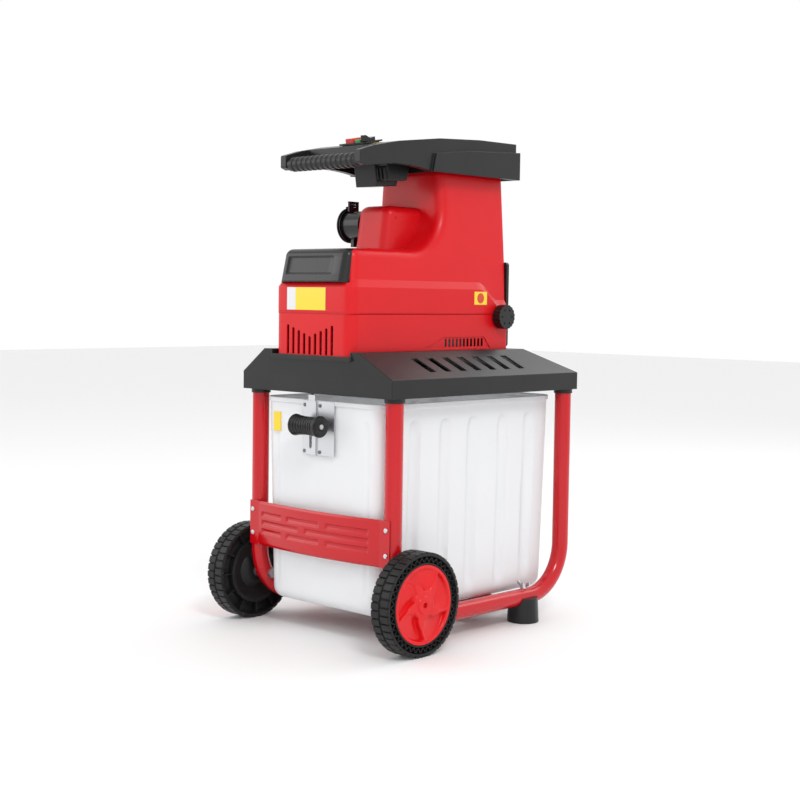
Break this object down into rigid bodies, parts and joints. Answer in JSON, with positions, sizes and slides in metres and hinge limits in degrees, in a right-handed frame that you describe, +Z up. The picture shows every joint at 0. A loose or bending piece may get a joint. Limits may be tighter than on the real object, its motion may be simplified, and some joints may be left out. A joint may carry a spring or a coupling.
{
  "type": "wood chipper",
  "caption": "Electric roller wood chipper on a two-wheeled tube frame, with a feed hopper, an adjustable pressure plate and a pull-out catch bin with a sliding latch.",
  "frame": {"origin": "on the ground, under the middle of the outline", "axes": "+Z up; -Y towards the operator's side with the wheels, handle and motor; +Y towards the feet, the way the bin pulls out; +X towards the side with the adjusting knob"},
  "size_m": [0.4806, 0.5796, 0.928],
  "materials": {
    "gloss_red_tube": "gloss red paint on steel tube and sheet",
    "red_plastic": "bright red moulded plastic, satin",
    "black_plastic": "black moulded plastic, fine grain",
    "bin_plastic": "milky translucent white plastic",
    "zinc_steel": "zinc-plated steel",
    "cutting_steel": "hardened steel, lightly oiled",
    "cast_aluminium": "cast aluminium",
    "brass_pin": "plain brass",
    "red_button": "glossy red",
    "green_button": "glossy green"
  },
  "bodies": {
    "frame_body": {"axle_bolts": "zinc_steel", "axle_nuts": "zinc_steel", "axle_spacers": "zinc_steel", "base_cover": "black_plastic", "bearings": "zinc_steel", "cable_cover": "red_plastic", "capacitor": "cast_aluminium", "cover_screws": "zinc_steel", "cross_plate_screws": "zinc_steel", "cross_plates": "gloss_red_tube", "cutter_frame": "cutting_steel", "feed_liner": "black_plastic", "feet": "black_plastic", "foot_bolts": "zinc_steel", "frame_tube_front_left": "gloss_red_tube", "frame_tube_front_right": "gloss_red_tube", "frame_tube_rear_left": "gloss_red_tube", "frame_tube_rear_right": "gloss_red_tube", "gearbox": "black_plastic", "guard_plate": "gloss_red_tube", "guard_screws": "zinc_steel", "handle_grip": "black_plastic", "hopper": "black_plastic", "inlet_hinge": "zinc_steel", "inlet_pins": "brass_pin", "interlock_switch": "black_plastic", "leg_screws": "zinc_steel", "lower_housing": "red_plastic", "mains_inlet": "black_plastic", "motor_cap": "black_plastic", "motor_shields": "cast_aluminium", "motor_stator": "cutting_steel", "rear_panel": "black_plastic", "switch_body": "black_plastic", "switch_housing": "black_plastic", "upper_housing": "red_plastic", "wing_nuts": "zinc_steel"},
    "wheel_left_body": {"wheel_left": "black_plastic", "hub_cap_left": "red_plastic"},
    "wheel_right_body": {"wheel_right": "black_plastic", "hub_cap_right": "red_plastic"},
    "bin_body": {"catch_bin": "bin_plastic", "latch_plate": "zinc_steel", "latch_rivets": "zinc_steel"},
    "latch_body": {"latch_tongue": "zinc_steel", "latch_grip": "black_plastic", "latch_grip_screw": "zinc_steel"},
    "plunger_body": {"interlock_plunger": "black_plastic"},
    "lid_body": {"inlet_lid": "black_plastic"},
    "stop_body": {"stop_button": "red_button"},
    "start_body": {"start_button": "green_button"},
    "rocker_body": {"direction_rocker": "black_plastic"},
    "knob_body": {"adjusting_knob": "black_plastic", "adjusting_screw": "zinc_steel"},
    "plate_body": {"pressure_plate": "cutting_steel"},
    "roller_body": {"cutting_roller": "cutting_steel", "roller_shaft": "zinc_steel", "roller_gear": "cutting_steel"},
    "counter_body": {"counter_gear": "cutting_steel"},
    "rotor_body": {"motor_rotor": "zinc_steel"}
  },
  "joints": [
    {"name": "left_wheel_spin", "type": "hinge", "parent": "frame_body", "child": "wheel_left_body", "pos_m": [-0.2197, -0.19782, 0.092], "axis": [1, 0, 0], "continuous": true},
    {"name": "right_wheel_spin", "type": "hinge", "parent": "frame_body", "child": "wheel_right_body", "pos_m": [0.2197, -0.19782, 0.092], "axis": [1, 0, 0], "continuous": true},
    {"name": "bin_slide", "type": "slide", "parent": "frame_body", "child": "bin_body", "axis": [0, 1, 0], "range_m": [0, 0.45]},
    {"name": "latch_slide", "type": "slide", "parent": "bin_body", "child": "latch_body", "axis": [0, 0, 1], "range_m": [-0.032, 0]},
    {"name": "plunger_slide", "type": "slide", "parent": "frame_body", "child": "plunger_body", "axis": [0, 0, 1], "range_m": [0, 0.003], "stiffness_N_per_m": 300, "springref_m": -0.001},
    {"name": "inlet_lid_hinge", "type": "hinge", "parent": "frame_body", "child": "lid_body", "pos_m": [-0.1061, -0.05118, 0.802], "axis": [0, 1, 0], "range_deg": [0, 100], "stiffness_Nm_per_rad": 0.02, "springref_deg": -17.19},
    {"name": "stop_press", "type": "slide", "parent": "frame_body", "child": "stop_body", "axis": [0, 0.1991, -0.98], "range_m": [0, 0.003], "stiffness_N_per_m": 400, "springref_m": -0.001},
    {"name": "start_press", "type": "slide", "parent": "frame_body", "child": "start_body", "axis": [0, 0.1991, -0.98], "range_m": [0, 0.003], "stiffness_N_per_m": 400, "springref_m": -0.001},
    {"name": "direction_tilt", "type": "hinge", "parent": "frame_body", "child": "rocker_body", "pos_m": [0.028, -0.13637, 0.90848], "axis": [1, 0, 0], "range_deg": [-10, 10]},
    {"name": "knob_turn", "type": "hinge", "parent": "frame_body", "child": "knob_body", "pos_m": [0.1035, 0.16032, 0.59], "axis": [1, 0, 0], "range_deg": [0, 1440]},
    {"name": "plate_slide", "type": "slide", "parent": "frame_body", "child": "plate_body", "axis": [1, 0, 0], "range_m": [0, 0.005]},
    {"name": "motor_spin", "type": "hinge", "parent": "frame_body", "child": "rotor_body", "pos_m": [0, -0.02818, 0.624], "axis": [0, 1, 0], "continuous": true},
    {"name": "counter_spin", "type": "hinge", "parent": "frame_body", "child": "counter_body", "pos_m": [0.0092, -0.02818, 0.57201], "axis": [0, 1, 0], "continuous": true},
    {"name": "roller_spin", "type": "hinge", "parent": "frame_body", "child": "roller_body", "pos_m": [-0.02, 0.01782, 0.616], "axis": [0, 1, 0], "continuous": true}
  ],
  "couplings": [
    {"joint": "knob_turn", "follows": "plate_slide", "rad_per_m": 5026},
    {"joint": "counter_spin", "follows": "motor_spin", "ratio": -0.12},
    {"joint": "roller_spin", "follows": "motor_spin", "ratio": 0.0144}
  ]
}
